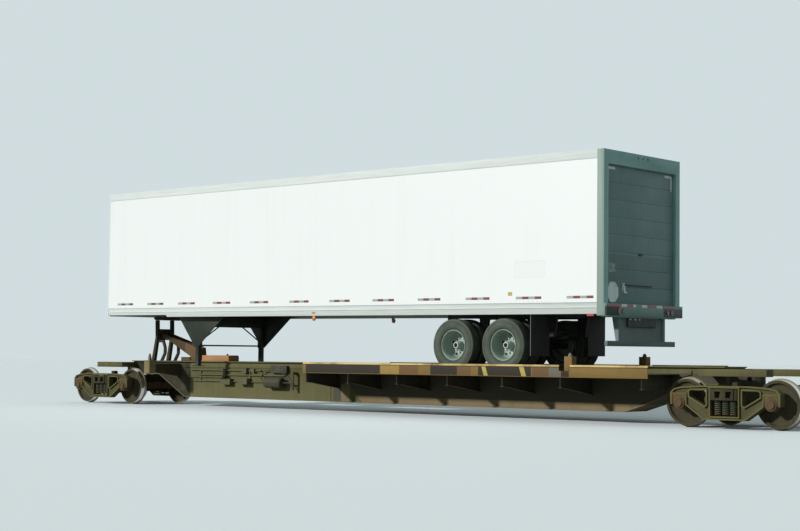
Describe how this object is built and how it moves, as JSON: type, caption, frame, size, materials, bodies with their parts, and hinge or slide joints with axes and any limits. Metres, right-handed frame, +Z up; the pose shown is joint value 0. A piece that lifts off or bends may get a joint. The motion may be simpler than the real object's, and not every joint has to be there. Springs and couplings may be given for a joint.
{
  "type": "spine flatcar with van semi-trailer",
  "caption": "Articulated spine flatcar unit on two swivelling rail trucks, carrying a tandem-axle dry van semi-trailer on its hitch and tyre decks.",
  "frame": {"origin": "midway between the truck centres on the centre line, at the lowest points of the wheel flanges", "axes": "+X along the car towards the trailer's rear doors, +Y across to the far side, +Z up"},
  "size_m": [20.141, 2.8, 5.1453],
  "materials": {
    "truck_steel": "dusty rust brown",
    "spring_steel": "dusty",
    "axle_steel": "rusted",
    "wheel_steel": "rusted with bright treads",
    "car_paint": "weathered dull yellow over brown",
    "sill_paint": "weathered ochre yellow",
    "hitch_paint": "faded orange",
    "pipe_steel": "dusty",
    "van_white": "smooth white",
    "van_aluminium": "dull mill finish",
    "van_frame": "grey",
    "van_door": "light grey",
    "floor_wood": "hardwood boards",
    "chassis_steel": "dusty black",
    "flap_rubber": "dull black",
    "lamp_lens": "lens",
    "tyre": "dusty rubber",
    "rim_paint": "blue grey"
  },
  "bodies": {
    "root": {"spine": "car_paint", "end_connectors": "car_paint", "body_side_bearings": "car_paint", "crossbearers": "car_paint", "end_pedestals": "car_paint", "hitch_head": "car_paint", "hitch_legs": "car_paint", "hitch_strut": "car_paint", "platform_near": "sill_paint", "platform_far": "sill_paint", "hitch_base": "hitch_paint", "air_reservoirs": "car_paint", "brake_pipes": "pipe_steel", "brake_gear": "pipe_steel", "trailer_side_near": "van_white", "trailer_side_far": "van_white", "trailer_front_wall": "van_white", "trailer_bottom_rails": "van_aluminium", "trailer_top_rails": "van_aluminium", "trailer_roof": "van_aluminium", "trailer_rear_frame": "van_frame", "trailer_rear_door": "van_door", "trailer_floor": "floor_wood", "trailer_crossmembers": "chassis_steel", "trailer_coupler": "chassis_steel", "landing_gear": "chassis_steel", "slider_frame": "chassis_steel", "trailer_axles": "chassis_steel", "leaf_springs": "spring_steel", "mud_flaps": "flap_rubber", "rear_guard": "chassis_steel", "lamps": "lamp_lens"},
    "truck_a": {"truck_a_side_frames": "truck_steel", "truck_a_bolster": "truck_steel", "truck_a_springs": "spring_steel", "truck_a_brake_beams": "truck_steel"},
    "wheelset_a1": {"axle_a1": "axle_steel", "wheels_a1": "wheel_steel"},
    "wheelset_a2": {"axle_a2": "axle_steel", "wheels_a2": "wheel_steel"},
    "truck_b": {"truck_b_side_frames": "truck_steel", "truck_b_bolster": "truck_steel", "truck_b_springs": "spring_steel", "truck_b_brake_beams": "truck_steel"},
    "wheelset_b1": {"axle_b1": "axle_steel", "wheels_b1": "wheel_steel"},
    "wheelset_b2": {"axle_b2": "axle_steel", "wheels_b2": "wheel_steel"},
    "pedestal_near": {"pedestal_near": "car_paint"},
    "pedestal_far": {"pedestal_far": "car_paint"},
    "twins_1_near": {"tyres_1_near": "tyre", "rims_1_near": "rim_paint"},
    "twins_1_far": {"tyres_1_far": "tyre", "rims_1_far": "rim_paint"},
    "twins_2_near": {"tyres_2_near": "tyre", "rims_2_near": "rim_paint"},
    "twins_2_far": {"tyres_2_far": "tyre", "rims_2_far": "rim_paint"}
  },
  "joints": [
    {"name": "truck_a_swivel", "type": "hinge", "parent": "root", "child": "truck_a", "pos_m": [-8.7375, 0, 0.706], "axis": [0, 0, 1], "range_deg": [-9, 9]},
    {"name": "wheelset_a1_roll", "type": "hinge", "parent": "truck_a", "child": "wheelset_a1", "pos_m": [-9.6265, 0, 0.444], "axis": [0, 1, 0], "continuous": true},
    {"name": "wheelset_a2_roll", "type": "hinge", "parent": "truck_a", "child": "wheelset_a2", "pos_m": [-7.8485, 0, 0.444], "axis": [0, 1, 0], "continuous": true},
    {"name": "truck_b_swivel", "type": "hinge", "parent": "root", "child": "truck_b", "pos_m": [8.7375, 0, 0.706], "axis": [0, 0, 1], "range_deg": [-9, 9]},
    {"name": "wheelset_b1_roll", "type": "hinge", "parent": "truck_b", "child": "wheelset_b1", "pos_m": [7.8485, 0, 0.444], "axis": [0, 1, 0], "continuous": true},
    {"name": "wheelset_b2_roll", "type": "hinge", "parent": "truck_b", "child": "wheelset_b2", "pos_m": [9.6265, 0, 0.444], "axis": [0, 1, 0], "continuous": true},
    {"name": "pedestal_near_fold", "type": "hinge", "parent": "root", "child": "pedestal_near", "pos_m": [5.7005, -1.25, 0.975], "axis": [0, 1, 0], "range_deg": [0, 90]},
    {"name": "pedestal_far_fold", "type": "hinge", "parent": "root", "child": "pedestal_far", "pos_m": [5.7005, 1.25, 0.975], "axis": [0, 1, 0], "range_deg": [0, 90]},
    {"name": "twins_1_near_roll", "type": "hinge", "parent": "root", "child": "twins_1_near", "pos_m": [2.833, -0.9845, 1.4453], "axis": [0, 1, 0], "continuous": true},
    {"name": "twins_1_far_roll", "type": "hinge", "parent": "root", "child": "twins_1_far", "pos_m": [2.833, 0.9845, 1.4453], "axis": [0, 1, 0], "continuous": true},
    {"name": "twins_2_near_roll", "type": "hinge", "parent": "root", "child": "twins_2_near", "pos_m": [4.078, -0.9845, 1.4453], "axis": [0, 1, 0], "continuous": true},
    {"name": "twins_2_far_roll", "type": "hinge", "parent": "root", "child": "twins_2_far", "pos_m": [4.078, 0.9845, 1.4453], "axis": [0, 1, 0], "continuous": true}
  ]
}
